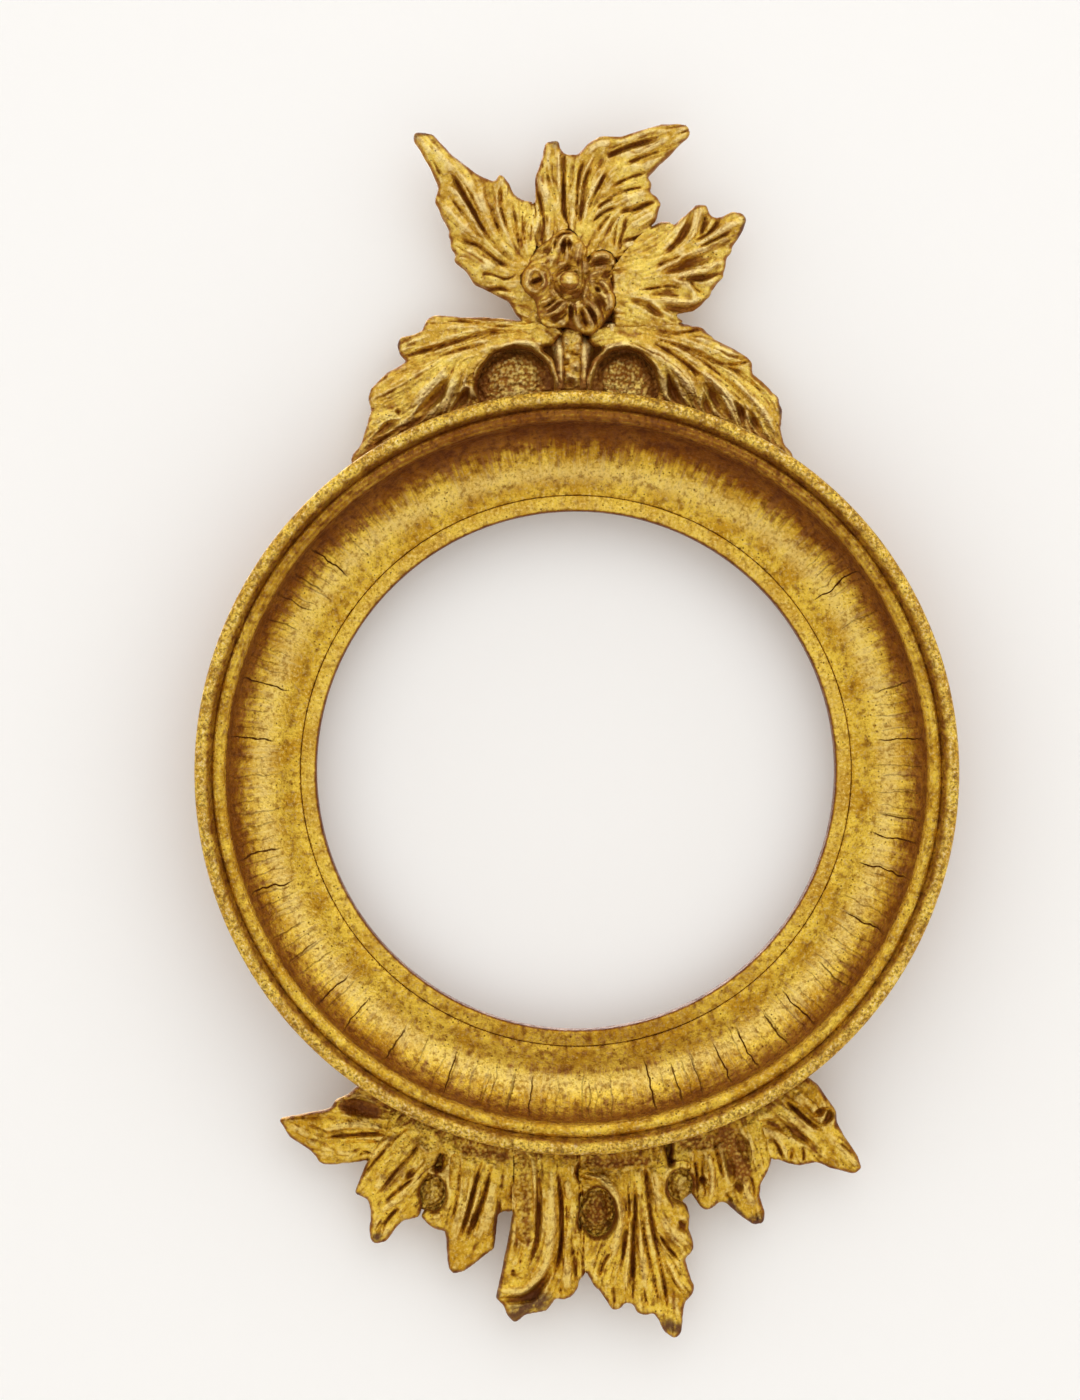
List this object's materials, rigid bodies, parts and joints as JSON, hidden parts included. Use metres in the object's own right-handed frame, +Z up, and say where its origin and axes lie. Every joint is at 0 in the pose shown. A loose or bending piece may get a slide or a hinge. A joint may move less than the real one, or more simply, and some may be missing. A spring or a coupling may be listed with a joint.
{
  "type": "gilded picture frame",
  "caption": "Round gilded wall frame with a turned cove moulding, a carved leaf crest with a flower above and a carved leaf pendant below.",
  "frame": {"origin": "the point of the wall hook: the top of the hanger ring's inside, on the plane of the wall", "axes": "+Z up, +X to the viewer's right, front of the frame towards -Y, wall at y = 0"},
  "size_m": [0.1848, 0.024, 0.2966],
  "materials": {
    "gilded_wood": "gilding over gesso and brown bole, aged and rubbed",
    "bare_wood": "old, unfinished",
    "brass": "dull plate",
    "steel": "old screws"
  },
  "bodies": {
    "frame": {"spray_leaf_centre": "gilded_wood", "spray_leaf_right": "gilded_wood", "spray_leaf_left": "gilded_wood", "shoulder_leaf_left": "gilded_wood", "shoulder_leaf_right": "gilded_wood", "pendant_leaf_centre_left": "gilded_wood", "pendant_leaf_centre_right": "gilded_wood", "pendant_leaf_mid_left": "gilded_wood", "pendant_leaf_mid_right": "gilded_wood", "pendant_leaf_left": "gilded_wood", "pendant_leaf_far_left": "gilded_wood", "pendant_leaf_far_right": "gilded_wood", "flower": "gilded_wood", "flower_pin": "gilded_wood", "crest_post": "gilded_wood", "ring_moulding": "gilded_wood", "sight_ring": "gilded_wood", "crest_ground": "gilded_wood", "pendant_ground": "gilded_wood", "crest_screw_1": "steel", "crest_screw_2": "steel", "crest_screw_3": "steel", "crest_screw_4": "steel", "crest_batten": "bare_wood", "pendant_screw_1": "steel", "pendant_screw_2": "steel", "pendant_screw_3": "steel", "pendant_screw_4": "steel", "pendant_batten": "bare_wood", "hanger_strap": "brass", "hanger_screw": "steel"},
    "hanger_ring": {"hanger_ring": "brass"}
  },
  "joints": [
    {"name": "hanger_swing", "type": "hinge", "parent": "frame", "child": "hanger_ring", "pos_m": [0, -0.0021, -0.01215], "axis": [-1, 0, 0], "range_deg": [0, 150]}
  ]
}
